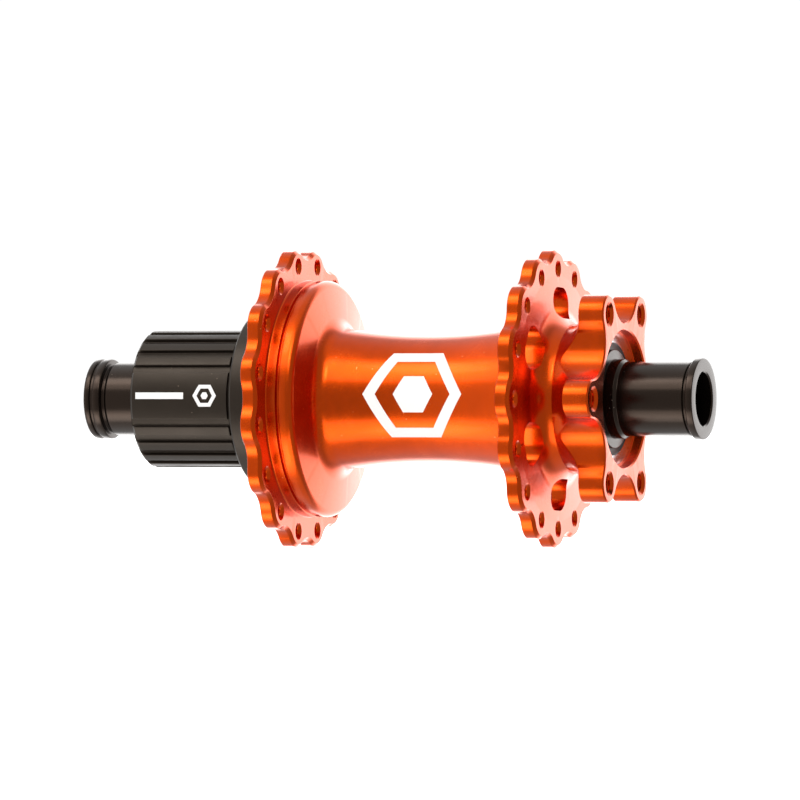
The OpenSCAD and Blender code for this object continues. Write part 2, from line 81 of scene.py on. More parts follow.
END_Y = high("disc_end_cap")
DISC_FACE_Y = high("hub_shell")
DRIVE_FLANGE_Y = low("hub_shell")
FREEHUB_FACE_Y = low("freehub_body")
FREEHUB_END_Y = high("freehub_body")
COLLAR_R = radius("freehub_body")
DRIVE_BEARING = (low("drive_bearing_outer_race"), high("drive_bearing_outer_race"))
DISC_BEARING = (low("disc_bearing_outer_race"), high("disc_bearing_outer_race"))
OUTBOARD_BEARING = (low("outboard_bearing_outer_race"), high("outboard_bearing_outer_race"))
INBOARD_BEARING = (low("inboard_bearing_outer_race"), high("inboard_bearing_outer_race"))
DRIVE_BEARING_R = radius("drive_bearing_outer_race")
DISC_BEARING_R = radius("disc_bearing_outer_race")
FREEHUB_BEARING_R = radius("outboard_bearing_outer_race")

FLANGE_T = 3.4
DISC_FLANGE_FACE_Y = 39.1
SPOKES = 16
SPOKE_HOLE_R = 1.3
HALF_PITCH = 180 / SPOKES
DRIVE_HOLE_CIRCLE_R = 30.9
DISC_HOLE_CIRCLE_R = 29.55
DRIVE_LOBE_CIRCLE_R = DRIVE_HOLE_CIRCLE_R - 1.8
DRIVE_VALLEY_R = DRIVE_HOLE_CIRCLE_R + 1.6
DISC_LOBE_CIRCLE_R = DISC_HOLE_CIRCLE_R - 1.1
DISC_VALLEY_R = DISC_HOLE_CIRCLE_R + 2.15
FLANGE_LOBE_R = 5.4
RIM_CHAMFER = 0.75
RIM_BACK_CHAMFER = 0.15

EARS = 6
EAR_T = 6
EAR_CHAMFER = 0.35
EAR_R = 4.4
EAR_VALLEY_R = 17.3
BOLT_CIRCLE_R = 22
POCKET_TURN = -2.1
NECK_R = 16.8
EAR_BACK_R = 7

DRUM_R = 27.1
WAIST_R = 14.55
WAIST_Y = 8
WAIST_CURVE_R = 125
BARREL_START_Y = -10.7
BARREL_END_Y = 31.5

SPLINES = 23
SPLINE_R = 15.75
SPLINE_ROOT_R = 14.9
SPLINE_LAND = 9.4
WIDE_LAND_CENTRE = -2.7


# ---------------------------------------------------------------- shapes

def turn(point, angle):
    """A point of a plane turned about its origin by degrees."""
    a = math.radians(angle)
    c, s = math.cos(a), math.sin(a)
    return Vector((point[0] * c - point[1] * s, point[0] * s + point[1] * c))


def polar(r, angle):
    """The point at that radius and direction from the axle."""
    return turn((r, 0), angle)


def rounded(corners, steps=4, closed=True):
    """A polyline through corners of (u, v, radius), each corner turned to an arc."""
    path = []
    last = len(corners) - 1
    for i, (u, v, r) in enumerate(corners):
        here = Vector((u, v))
        if r == 0 or (not closed and i in (0, last)):
            path.append(here)
            continue
        before = Vector(corners[i - 1][:2]) - here
        after = Vector(corners[(i + 1) % len(corners)][:2]) - here
        half = before.angle(after) / 2
        reach = min(r / math.tan(half), before.length * 0.49, after.length * 0.49)
        r = reach * math.tan(half)
        before.normalize()
        after.normalize()
        centre = here + (before + after).normalized() * (r / math.sin(half))
        start = here + before * reach - centre
        sweep = math.degrees(start.angle_signed(here + after * reach - centre))
        path += [centre + turn(start, -sweep * k / steps) for k in range(steps + 1)]
    return path


def spot(flat, y):
    """The place in the frame, in metres, of a point of the plane across the axle at y."""
    return Vector((flat[0], y, -flat[1])) * MM


def mesh_piece(name, points, faces):
    """A closed mesh object whose faces all look outwards."""
    mesh = bpy.data.meshes.new(name)
    mesh.from_pydata(points, [], faces)
    bm = bmesh.new()
    bm.from_mesh(mesh)
    bmesh.ops.recalc_face_normals(bm, faces=bm.faces)
    bm.to_mesh(mesh)
    bm.free()
    piece = bpy.data.objects.new(name, mesh)
    bpy.context.scene.collection.objects.link(piece)
    return piece


def loft(name, rings, closed=True):
    """A surface through rings of equally many points; an open one is closed by two flat ends."""
    count = len(rings[0])
    points = [p for ring in rings for p in ring]
    spans = len(rings) if closed else len(rings) - 1
    faces = []
    for i in range(spans):
        a, b = i * count, (i + 1) % len(rings) * count
        for k in range(count):
            n = (k + 1) % count
            faces.append((a + k, a + n, b + n, b + k))
    if not closed:
        faces.append(tuple(range(count)))
        faces.append(tuple(range((len(rings) - 1) * count, len(rings) * count)))
    return mesh_piece(name, points, faces)


def turned(name, corners, segments=288, steps=4):
    """A ring turned about the axle from a closed profile of (radius, y, corner radius)."""
    profile = rounded(corners, steps)
    angles = [360 * k / segments for k in range(segments)]
    return loft(name, [[spot(polar(r, a), y) for a in angles] for r, y in profile])


def finish_edges(piece, angle=32):
    """Smooth shading that breaks at real edges and keeps flat faces flat."""
    piece.data.shade_smooth()
    limit = math.radians(angle)
    bm = bmesh.new()
    bm.from_mesh(piece.data)
    for edge in bm.edges:
        edge.smooth = len(edge.link_faces) == 2 and edge.calc_face_angle(0) < limit
    bm.to_mesh(piece.data)
    bm.free()
    weigh = piece.modifiers.new("even_normals", "WEIGHTED_NORMAL")
    weigh.keep_sharp = True
    weigh.weight = 90
    return piece


def cut(piece, cutters):
    """Takes the cutters away from a piece for good."""
    tool = join(cutters)
    modifier = piece.modifiers.new("cut", "BOOLEAN")
    modifier.operation = "DIFFERENCE"
    modifier.solver = "EXACT"
    modifier.object = tool
    graph = bpy.context.evaluated_depsgraph_get()
    made = bpy.data.meshes.new_from_object(piece.evaluated_get(graph))
    piece.modifiers.clear()
    piece.data = made
    bpy.data.objects.remove(tool)


def join(pieces):
    """One object that holds the meshes of several."""
    bm = bmesh.new()
    for piece in pieces:
        bm.from_mesh(piece.data)
    mesh = bpy.data.meshes.new("joined")
    bm.to_mesh(mesh)
    bm.free()
    for piece in pieces:
        bpy.data.objects.remove(piece)
    joined = bpy.data.objects.new("joined", mesh)
    bpy.context.scene.collection.objects.link(joined)
    return joined


class Outline:
    """Round lobes on a circle, joined by round hollows; its centre is the axle."""

    def __init__(self, count, circle_r, lobe_r, valley_r, phase):
        self.pitch = 360 / count
        self.circle_r = circle_r
        self.lobe_r = lobe_r
        self.phase = phase
        half = math.radians(self.pitch / 2)
        floor = valley_r - lobe_r
        self.hollow_circle_r = (circle_r**2 - floor**2) / (2 * (circle_r * math.cos(half) - floor))
        self.hollow_r = self.hollow_circle_r - valley_r
        lobe = Vector((circle_r, 0))
        towards = polar(self.hollow_circle_r, self.pitch / 2) - lobe
        meeting = lobe + towards.normalized() * lobe_r
        self.meeting_angle = math.degrees(math.atan2(meeting.y, meeting.x))

    def at(self, angle, inset=0):
        """The outline's point in that direction, moved inwards by inset."""
        turns = round((angle - self.phase) / self.pitch)
        lobe_angle = self.phase + turns * self.pitch
        off = angle - lobe_angle
        if abs(off) < self.meeting_angle:
            centre, r, side, way = polar(self.circle_r, lobe_angle), self.lobe_r, 1, -1
        else:
            middle = lobe_angle + math.copysign(self.pitch / 2, off)
            centre, r, side, way = polar(self.hollow_circle_r, middle), self.hollow_r, -1, 1
        ray = polar(1, angle)
        along = centre.dot(ray)
        reach = math.sqrt(max(r * r - (centre.length_squared - along * along), 0))
        point = ray * (along + side * reach)
        return point + (point - centre).normalized() * inset * way


# ---------------------------------------------------------------- hub shell

def barrel_r(y):
    """Radius of the barrel's long curve."""
    return WAIST_R + WAIST_CURVE_R - math.sqrt(WAIST_CURVE_R**2 - (y - WAIST_Y) ** 2)


def shell_angles():
    """Directions all round, closer together where the ears' sides stand almost radially."""
    angles = {round(k * 0.5, 4) for k in range(720)}
    for ear in range(EARS):
        for side in (-1, 1):
            middle = ear * 360 / EARS
            angles |= {round((middle + side * (11 + k * 0.125)) % 360, 4) for k in range(-2, 21)}
    return sorted(angles)


def ear_back_y(r):
    """Place of the ears' back, a curve that leaves the neck and runs out flat."""
    back = DISC_FACE_Y - EAR_T
    side = NECK_R + EAR_BACK_R - r
    if side <= 0:
        return back
    return back - EAR_BACK_R + math.sqrt(max(EAR_BACK_R**2 - side * side, 0))


def ear_root_r(y):
    """Radius at which the ears' back leaves the neck at y."""
    rise = y - (DISC_FACE_Y - EAR_T - EAR_BACK_R)
    return NECK_R + EAR_BACK_R - math.sqrt(EAR_BACK_R**2 - rise * rise)


def rim_path(y0):
    """A flange rim's section as (inset, y): a broken edge behind, a chamfer in front."""
    y1 = y0 + FLANGE_T
    back = RIM_BACK_CHAMFER
    return rounded([
        (2, y0, 0), (back, y0, 0.12), (0, y0 + back, 0.2),
        (0, y1 - RIM_CHAMFER, 0.25), (RIM_CHAMFER, y1, 0.2), (2, y1, 0)], closed=False)[1:-1]


def shell_rings():
    """The shell's skin as rings, over the outside and back through the bore."""
    angles = shell_angles()
    drive = Outline(SPOKES, DRIVE_LOBE_CIRCLE_R, FLANGE_LOBE_R, DRIVE_VALLEY_R, HALF_PITCH)
    disc = Outline(SPOKES, DISC_LOBE_CIRCLE_R, FLANGE_LOBE_R, DISC_VALLEY_R, 0)
    ears = Outline(EARS, BOLT_CIRCLE_R, EAR_R, EAR_VALLEY_R, 0)
    rings = []

    def circles(path):
        rings.extend([spot(polar(r, a), y) for a in angles] for r, y in path)

    def outlines(shape, path):
        rings.extend([spot(shape.at(a, inset), y) for a in angles] for inset, y in path)

    # Drive-side flange
    outlines(drive, rim_path(DRIVE_FLANGE_Y))
    # Drum, barrel and the foot of the disc-side flange
    start_r, end_r = barrel_r(BARREL_START_Y), barrel_r(BARREL_END_Y)
    drum_start_y = DRIVE_FLANGE_Y + FLANGE_T
    disc_back_y = DISC_FLANGE_FACE_Y - FLANGE_T
    shoulder_y = -15.6
    groove_start_y, groove_end_y, groove_depth = -19.5, -18.6, 0.7
    fillet_r, barrel_steps = 3.6, 24
    length = BARREL_END_Y - BARREL_START_Y
    circles(rounded([
        (DRUM_R + 2, drum_start_y, 0), (DRUM_R, drum_start_y, 0.35),
        (DRUM_R, groove_start_y, 0.12), (DRUM_R - groove_depth, groove_start_y + 0.3, 0.1),
        (DRUM_R - groove_depth, groove_end_y - 0.3, 0.1), (DRUM_R, groove_end_y, 0.12),
        (DRUM_R, shoulder_y, 1.9), (start_r + 2, shoulder_y + 1.5, 0)], 8, False)[1:-1])
    circles([(start_r + fillet_r * (1 - math.cos(a)), BARREL_START_Y - fillet_r * math.sin(a))
        for a in (math.radians(80 - 8 * k) for k in range(11))])
    circles([(barrel_r(y), y)
        for y in (BARREL_START_Y + length * k / barrel_steps for k in range(1, barrel_steps))])
    foot_r = disc_back_y - BARREL_END_Y
    circles([(end_r + foot_r * (1 - math.cos(a)), BARREL_END_Y + foot_r * math.sin(a))
        for a in (math.radians(9 * k) for k in range(11))])
    # Disc-side flange, with a face that rises to the neck
    outlines(disc, rim_path(disc_back_y))
    neck_start_y, blend_y = DISC_FLANGE_FACE_Y + 0.72, 43.4
    neck = rounded([
        (29, DISC_FLANGE_FACE_Y, 0), (28, DISC_FLANGE_FACE_Y, 1.2), (NECK_R, neck_start_y, 5),
        (NECK_R, 50, 0)], 14, False)[1:-1]
    circles([(r, y) for r, y in neck if y < blend_y])
    # Ears: their backs, walls and faces
    root_r = ear_root_r(blend_y)
    back_steps = 14
    for k in range(back_steps + 1):
        ring = []
        for a in angles:
            edge = ears.at(a).length
            r = root_r + (edge - min(0.2, 0.4 * (edge - root_r)) - root_r) * k / back_steps
            ring.append(spot(polar(r, a), max(ear_back_y(r), blend_y)))
        rings.append(ring)
    for inset, lift in ((0.05, 0.05), (0, 0.2)):
        rings.append([spot(ears.at(a, inset), ear_back_y(ears.at(a).length) + lift) for a in angles])
    outlines(ears, rounded([
        (0, DISC_FACE_Y - 2, 0), (0, DISC_FACE_Y - EAR_CHAMFER, 0.15),
        (EAR_CHAMFER, DISC_FACE_Y, 0.1), (1, DISC_FACE_Y, 0)], 3, False)[:-1])
    # The bore, back to the drive side
    mouth_r = DISC_BEARING_R + 0.6
    mouth_y = DISC_BEARING[1] + 0.6
    barrel_bore_r, shoulder_r, ring_seat_r, seal_seat_r = 12.3, 20.5, 24, 24.2
    ring_start_y, ring_end_y = -23.9, -17.6
    circles(rounded([
        (mouth_r + 2, DISC_FACE_Y, 0), (mouth_r + 0.3, DISC_FACE_Y, 0.1),
        (mouth_r, DISC_FACE_Y - 0.3, 0.1), (mouth_r, mouth_y, 0.2),
        (DISC_BEARING_R, mouth_y, 0.15), (DISC_BEARING_R, DISC_BEARING[0], 0.2),
        (barrel_bore_r, DISC_BEARING[0], 0.3), (barrel_bore_r, DRIVE_BEARING[1], 0.3),
        (DRIVE_BEARING_R, DRIVE_BEARING[1], 0.2), (DRIVE_BEARING_R, ring_end_y + 0.6, 0.2),
        (shoulder_r, ring_end_y + 0.6, 0.1), (shoulder_r, ring_end_y, 0.1),
        (ring_seat_r, ring_end_y, 0.2), (ring_seat_r, ring_start_y, 0.05),
        (seal_seat_r, ring_start_y, 0.05), (seal_seat_r, DRIVE_FLANGE_Y, 0.2),
        (seal_seat_r + 1.8, DRIVE_FLANGE_Y, 0)], 3, False)[1:-1])
    return rings


def hole_cutter(circle_r, angle, profile, segments=40):
    """A cutter turned from (radius, y) points about a line beside the axle."""
    centre = polar(circle_r, angle)
    rings = [[spot(centre + polar(r, 360 * k / segments), y) for k in range(segments)]
        for r, y in profile]
    return loft("cutter", rings, closed=False)


def spoke_hole(circle_r, angle, y0):
    """A spoke hole, countersunk on both faces."""
    sink, out = 0.7, 0.6
    y1 = y0 + FLANGE_T
    r = SPOKE_HOLE_R
    return hole_cutter(circle_r, angle, [
        (r + sink + 1.4 * out, y0 - out), (r + sink, y0), (r + 0.12, y0 + sink * 0.85),
        (r, y0 + sink * 1.15), (r, y1 - sink * 1.15), (r + 0.12, y1 - sink * 0.85),
        (r + sink, y1), (r + sink + 1.4 * out, y1 + out)])


def bolt_hole(angle):
    """A threaded disc bolt hole, countersunk at the face; its thread is a stack of V grooves."""
    pitch, crest_r, groove_r = 0.8, 2.14, 2.5
    y0 = DISC_FACE_Y - EAR_T - 3
    profile = [(crest_r, y0)]
    y = y0 + pitch
    while y < DISC_FACE_Y - 1:
        profile += [(crest_r, y - 0.34), (groove_r, y), (crest_r, y + 0.34)]
        y += pitch
    profile += [(crest_r, DISC_FACE_Y - 0.75), (2.9, DISC_FACE_Y), (3.3, DISC_FACE_Y + 0.5)]
    return hole_cutter(BOLT_CIRCLE_R, angle, profile, 48)


def pocket(angle):
    """A lightening pocket: a slot with round ends, cut through the flange and into the neck."""
    slot_r, half_span, circle_r = 3.6, 1.6, 21.8
    y0 = DISC_FLANGE_FACE_Y - FLANGE_T

    def ring(grow, y):
        ends = [(180 * k / 24 + 90 * side, side) for side in (1, -1) for k in range(25)]
        flat = [Vector((circle_r, 0)) + turn((slot_r + grow, 0), a - 90)
            + Vector((0, side * half_span)) for a, side in ends]
        return [spot(turn(p, angle), y) for p in flat]

    return loft("cutter", [ring(0.8, y0 - 0.5), ring(0.3, y0), ring(0.05, y0 + 0.28),
        ring(0, y0 + 0.4), ring(0, 42.45), ring(-0.15, 42.6)], closed=False)


def hub_shell():
    """The orange shell with all its holes and pockets."""
    shell = loft("shell", shell_rings())
    pitch = 2 * HALF_PITCH
    cutters = [spoke_hole(DRIVE_HOLE_CIRCLE_R, HALF_PITCH + pitch * k, DRIVE_FLANGE_Y)
        for k in range(SPOKES)]
    cutters += [spoke_hole(DISC_HOLE_CIRCLE_R, pitch * k, DISC_FLANGE_FACE_Y - FLANGE_T)
        for k in range(SPOKES)]
    ear_pitch = 360 / EARS
    cutters += [bolt_hole(ear_pitch * k) for k in range(EARS)]
    cutters += [pocket(ear_pitch * (k + 0.5) + POCKET_TURN) for k in range(EARS)]
    cut(shell, cutters)
    finish_edges(shell)
    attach(shell, "shell_assembly")
    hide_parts("hub_shell")
    return shell


# ---------------------------------------------------------------- freehub

def spline_outline():
    """The splines' outline: narrow lands all round and one land three positions wide."""
    pitch = 360 / SPLINES
    lands = [(WIDE_LAND_CENTRE - pitch - SPLINE_LAND / 2, WIDE_LAND_CENTRE + pitch + SPLINE_LAND / 2)]
    for k in range(2, SPLINES - 1):
        middle = WIDE_LAND_CENTRE + k * pitch
        lands.append((middle - SPLINE_LAND / 2, middle + SPLINE_LAND / 2))
    flat = []
    for i, (a0, a1) in enumerate(lands):
        a2 = lands[(i + 1) % len(lands)][0] % 360
        a2 += 360 if a2 < a1 else 0
        steps = max(4, round(a1 - a0))
        corners = [(*polar(SPLINE_ROOT_R, a0 - 1), 0), (*polar(SPLINE_ROOT_R, a0), 0.12),
            (*polar(SPLINE_R, a0 + 0.4), 0.14), (*polar(SPLINE_R, a0 + 2), 0)]
        flat += rounded(corners, 3, False)
        flat += [polar(SPLINE_R, a0 + 2 + (a1 - a0 - 4) * k / steps) for k in range(1, steps)]
        corners = [(*polar(SPLINE_R, a1 - 2), 0), (*polar(SPLINE_R, a1 - 0.4), 0.14),
            (*polar(SPLINE_ROOT_R, a1), 0.12), (*polar(SPLINE_ROOT_R, a1 + 1), 0)]
        flat += rounded(corners, 3, False)
        flat += [polar(SPLINE_ROOT_R, a1 + 1 + (a2 - a1 - 2) * k / 3) for k in (1, 2)]
    return flat


def freehub_body():
    """The black splined body with its relief groove, collar, bearing seats and pawl pockets."""
    flat = spline_outline()
    angles = [math.degrees(math.atan2(p.y, p.x)) for p in flat]
    chamfer = 0.7
    spline_end_y, relief_end_y, collar_y = -35.8, -34.6, -33.6
    thread_y, thread_r, bore_r = FREEHUB_FACE_Y + 5.7, 14.1, 12
    rings = []

    def circles(path):
        rings.extend([spot(polar(r, a), y) for a in angles] for r, y in path)

    def splines(limit_r, y):
        rings.append([spot(p * min(1, limit_r / p.length), y) for p in flat])

    front_r = SPLINE_R - chamfer
    circles(rounded([(FREEHUB_BEARING_R + 1.5, FREEHUB_FACE_Y, 0), (front_r, FREEHUB_FACE_Y, 0.1),
        (front_r + 1, FREEHUB_FACE_Y + 1, 0)], 2, False)[1:2])
    for k in range(5):
        splines(front_r + chamfer * k / 4, FREEHUB_FACE_Y + 0.02 + (chamfer - 0.02) * k / 4)
    splines(SPLINE_R, FREEHUB_FACE_Y + chamfer + 0.1)
    splines(SPLINE_R, spline_end_y - 0.15)
    splines(SPLINE_R - 0.05, spline_end_y - 0.04)
    splines(SPLINE_R - 0.16, spline_end_y)
    circles(rounded([(SPLINE_ROOT_R + 0.6, spline_end_y, 0), (SPLINE_ROOT_R, spline_end_y, 0.1),
        (SPLINE_ROOT_R, relief_end_y, 0.15), (SPLINE_R, relief_end_y, 0.12),
        (SPLINE_R, collar_y, 0.12), (COLLAR_R - 0.3, collar_y, 0.1),
        (COLLAR_R, collar_y + 0.4, 0.15), (COLLAR_R, FREEHUB_END_Y, 0.1),
        (FREEHUB_BEARING_R, FREEHUB_END_Y, 0.1), (FREEHUB_BEARING_R, INBOARD_BEARING[0], 0.2),
        (bore_r, INBOARD_BEARING[0], 0.2), (bore_r, OUTBOARD_BEARING[1], 0.2),
        (FREEHUB_BEARING_R, OUTBOARD_BEARING[1], 0.2),
        (FREEHUB_BEARING_R, thread_y, 0.1), (thread_r, thread_y, 0.2),
        (thread_r, FREEHUB_FACE_Y, 0.2), (16, FREEHUB_FACE_Y, 0)], 3, False)[1:-1])
    body = loft("freehub", rings)
    cut(body, [pawl_pocket(60 * k) for k in range(6)])
    finish_edges(body)
    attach(body, "freehub_assembly")
    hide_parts("freehub_body")
    return body


def pawl_pocket(angle):
    """Room for one pawl and its spring in the freehub's collar."""
    pivot = Vector((17.4, 0))
    heel = [pivot + polar(1.65, a) for a in range(150, 331, 12)]
    far = [polar(22, 4), polar(22, 24.5), polar(15.4, 24.5), polar(15.4, 16), polar(15.5, 8)]
    flat = [turn(p, angle) for p in heel + far]
    depth = (low("pawl_1") - 0.1, FREEHUB_END_Y + 1)
    return loft("cutter", [[spot(p, y) for p in flat] for y in depth], closed=False)


# ---------------------------------------------------------------- end caps

CAP_BORE_R = 6.05
CAP_RIM_R = 9.23
CAP_TUBE_R = 8.4
CAP_GROOVE_R = 7.9
SPIGOT_R = 7.25
O_RING_GROOVE_R = 6.42


def cap_spigot(foot_y, way):
    """The part of a cap's profile that goes into the axle, with the groove of its O-ring."""
    ring_y, tip_y = foot_y + way * 6, foot_y + way * 10.8
    near_y, far_y = ring_y - way * 0.5, ring_y + way * 0.5
    return [(SPIGOT_R, foot_y, 0.1), (SPIGOT_R, near_y, 0.1), (O_RING_GROOVE_R, near_y, 0.1),
        (O_RING_GROOVE_R, far_y, 0.1), (SPIGOT_R, far_y, 0.1), (SPIGOT_R, tip_y, 0.35),
        (CAP_BORE_R, tip_y, 0.1)]


def drive_end_cap():
    """The cap with two round bands, a deep groove behind them and a foot on the bearing."""
    e = -END_Y
    foot_y = OUTBOARD_BEARING[0]
    between_r, foot_r = 8.75, 9.7
    cap = turned("drive_cap", [
        (CAP_BORE_R, e + 0.3, 0.08), (CAP_BORE_R + 0.3, e, 0.08), (CAP_RIM_R, e, 0.5),
        (CAP_RIM_R, e + 1.42, 0.4), (between_r, e + 1.5, 0.1), (between_r, e + 2.1, 0.1),
        (CAP_RIM_R, e + 2.18, 0.4), (CAP_RIM_R, e + 4, 0.45), (CAP_GROOVE_R, e + 4, 0.2),
        (CAP_GROOVE_R, e + 4.8, 0.3), (CAP_TUBE_R, e + 5.3, 0.25), (CAP_TUBE_R, foot_y - 1.5, 0.2),
        (foot_r, foot_y - 1.5, 0.2), (foot_r, foot_y, 0.15), *cap_spigot(foot_y, 1)])
    return finish_cap(cap, "drive_end_cap")


def disc_end_cap():
    """The cap with one band, a groove behind it, a stepped foot and a thin bearing shield."""
    e = END_Y
    foot_y = DISC_BEARING[1]
    foot_r, foot_start_y, shield_r, shield_y = 9, 55.2, 11.2, foot_y + 0.6
    cap = turned("disc_cap", [
        (CAP_BORE_R, e - 0.3, 0.08), (CAP_BORE_R + 0.3, e, 0.08), (CAP_RIM_R, e, 0.3),
        (CAP_RIM_R, e - 1.7, 0.3), (CAP_GROOVE_R, e - 1.7, 0.15), (CAP_GROOVE_R, e - 2.6, 0.2),
        (CAP_TUBE_R, e - 2.6, 0.2), (CAP_TUBE_R, foot_start_y + 0.6, 0.3),
        (foot_r, foot_start_y, 0.15), (foot_r, shield_y, 0.1), (shield_r, shield_y, 0.2),
        (shield_r, foot_y, 0.1), *cap_spigot(foot_y, -1)], steps=6)
    return finish_cap(cap, "disc_end_cap")


def finish_cap(cap, node):
    """Puts a cap on the axle in place of its CAD node."""
    finish_edges(cap)
    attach(cap, "axle_assembly")
    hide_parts(node)
    return cap


# ---------------------------------------------------------------- printed marks

INK = 0.03
LANES = 8
BARREL_MARK_Y = 9.2
BARREL_MARK_ARC = -1.1
FREEHUB_MARK_Y = -41.2


def wrapped(surface_r, y, arc, lift):
    """A point on a turned surface: its place along the axle and the arc length from the front."""
    r = surface_r(y) + 0.002
    return spot(polar(r + lift, math.degrees(arc / r)), y)


def hexagon(size, y, arc, share):
    """A point of a hexagon's outline about (y, arc), with corners fore and aft along the axle."""
    side, along = divmod(share * 6, 1)
    p = polar(size, 60 * side).lerp(polar(size, 60 * side + 60), along)
    return y + p.x, arc + p.y


def hexagon_mark(surface_r, y, arc, outer, inner):
    """A printed hexagonal band that follows a turned surface."""
    steps = 96
    sizes = [outer + (inner - outer) * k / LANES for k in range(LANES + 1)]
    rings = [[wrapped(surface_r, *hexagon(size, y, arc, k / steps), INK) for k in range(steps)]
        for size in sizes]
    rings += [[wrapped(surface_r, *hexagon(size, y, arc, k / steps), 0) for k in range(steps)]
        for size in reversed(sizes)]
    return loft("hexagon", rings)


def bar_mark(surface_r, y0, y1, arc, width):
    """A printed bar along the axle that follows a turned surface."""
    across = [arc + width * (k / LANES - 0.5) for k in range(LANES + 1)]
    rings = []
    for k in range(25):
        y = y0 + (y1 - y0) * k / 24
        rings.append([wrapped(surface_r, y, a, INK) for a in across]
            + [wrapped(surface_r, y, a, 0) for a in reversed(across)])
    return loft("bar", rings, closed=False)


def land_r(y):
    """Radius of the freehub's lands, the same all along."""
    return SPLINE_R


def marks():
    """Plain white shapes on the barrel and the freehub: hexagons and a bar."""
    barrel = join([hexagon_mark(barrel_r, BARREL_MARK_Y, BARREL_MARK_ARC, outer, inner)
        for outer, inner in ((12, 9.1), (4.8, 0.02))])
    barrel.name = "barrel_mark"
    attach(barrel, "shell_assembly")
    arc = math.radians(WIDE_LAND_CENTRE) * SPLINE_R
    hexagons = [hexagon_mark(land_r, FREEHUB_MARK_Y, arc, outer, inner)
        for outer, inner in ((2.9, 1.9), (0.9, 0.01))]
    label = join([bar_mark(land_r, -58.2, -46.4, arc, 1.5), *hexagons])
    label.name = "freehub_mark"
    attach(label, "freehub_assembly")
    return barrel, label


# ---------------------------------------------------------------- materials

class Nodes:
    """A short way to write a material's node tree."""

    def __init__(self, name):
        self.material = bpy.data.materials.new(name)
        self.material.use_nodes = True
        self.tree = self.material.node_tree
        self.shader = self.tree.nodes["Principled BSDF"]
        self.place = self.add("TexCoord").outputs["Object"]

    def add(self, kind, **settings):
        node = self.tree.nodes.new("ShaderNode" + kind)
        for key, value in settings.items():
            setattr(node, key, value)
        return node

    def feed(self, value, socket):
        if isinstance(value, bpy.types.NodeSocket):
            self.tree.links.new(value, socket)
        else:
            socket.default_value = value

    def math(self, operation, a, b=0.0, c=0.0):
        node = self.add("Math", operation=operation)
        for value, socket in zip((a, b, c), node.inputs):
            self.feed(value, socket)
        return node.outputs[0]

    def noise(self, scale, detail=2.0, rough=0.5, at=None):
        node = self.add("TexNoise")
        self.feed(self.place if at is None else at, node.inputs["Vector"])
        node.inputs["Scale"].default_value = scale
        node.inputs["Detail"].default_value = detail
        node.inputs["Roughness"].default_value = rough
        return node.outputs["Fac"]

    def remap(self, value, low_in, high_in, low_out, high_out):
        node = self.add("MapRange")
        self.feed(value, node.inputs["Value"])
        for key, number in (("From Min", low_in), ("From Max", high_in), ("To Min", low_out),
                ("To Max", high_out)):
            node.inputs[key].default_value = number
        return node.outputs["Result"]

    def mix(self, share, a, b):
        node = self.add("Mix", data_type="RGBA")
        self.feed(share, node.inputs[0])
        self.feed(a, node.inputs[6])
        self.feed(b, node.inputs[7])
        return node.outputs[2]

    def around_axle(self):
        """Place as (radius, y, 0): the same all round the axle, for marks left by turning."""
        split = self.add("SeparateXYZ")
        self.feed(self.place, split.inputs[0])
        x, y, z = split.outputs
        squares = self.math("MULTIPLY", x, x), self.math("MULTIPLY", z, z)
        reach = self.math("SQRT", self.math("ADD", *squares))
        made = self.add("CombineXYZ")
        self.feed(reach, made.inputs[0])
        self.feed(y, made.inputs[1])
        return made.outputs[0]

    def bump(self, height, strength, distance, normal=None):
        node = self.add("Bump")
        self.feed(height, node.inputs["Height"])
        node.inputs["Strength"].default_value = strength
        node.inputs["Distance"].default_value = distance
        if normal is not None:
            self.feed(normal, node.inputs["Normal"])
        return node.outputs["Normal"]

    def set(self, **sockets):
        for key, value in sockets.items():
            self.feed(value, self.shader.inputs[key.replace("_", " ").title().replace("Ior", "IOR")])


def colour(r, g, b):
    """An opaque colour."""
    return (r, g, b, 1.0)


def metal_finish(name, base, rough, turning, grain, metallic=1.0, coat=0.0, specks=0.0,
        speck_colour=None, gloss_tint=None):
    """Turned metal: fine rings from the lathe, a fine grain, uneven gloss and a little dust."""
    n = Nodes(name)
    rings = n.noise(9000, 3, 0.6, n.around_axle())
    fine = n.noise(7000, 2, 0.6)
    patches = n.noise(140, 3, 0.55)
    tone = n.remap(patches, 0.3, 0.7, 0.9, 1.06)
    shade = n.add("Mix", data_type="RGBA", blend_type="MULTIPLY")
    shade.inputs[0].default_value = 1.0
    n.feed(colour(*base), shade.inputs[6])
    grey = n.add("CombineColor")
    for socket in grey.inputs[:3]:
        n.feed(tone, socket)
    n.feed(grey.outputs[0], shade.inputs[7])
    base_colour = shade.outputs[2]
    uneven = n.math("ADD", patches, n.math("MULTIPLY", fine, 0.6))
    gloss = n.remap(uneven, 0.5, 1.1, rough * 0.85, rough * 1.18)
    if specks:
        cells = n.add("TexVoronoi", feature="F1")
        n.feed(n.place, cells.inputs["Vector"])
        cells.inputs["Scale"].default_value = 700
        near = n.remap(cells.outputs["Distance"], 0.06, 0.13, 1.0, 0.0)
        chosen = n.math("GREATER_THAN", n.noise(260, 2, 0.5), 0.62)
        dust = n.math("MULTIPLY", n.math("MULTIPLY", near, chosen), specks)
        base_colour = n.mix(dust, base_colour, colour(*(speck_colour or base)))
        gloss = n.math("ADD", gloss, n.math("MULTIPLY", dust, 0.3))
    normal = n.bump(rings, turning, 0.00002)
    normal = n.bump(fine, grain, 0.00003, normal)
    n.set(base_color=base_colour, metallic=metallic, roughness=gloss, normal=normal)
    if coat:
        n.set(coat_weight=coat, coat_roughness=0.12, coat_ior=1.15)
    if gloss_tint:
        n.set(ior=1.6, specular_tint=colour(*gloss_tint))
    return n.material


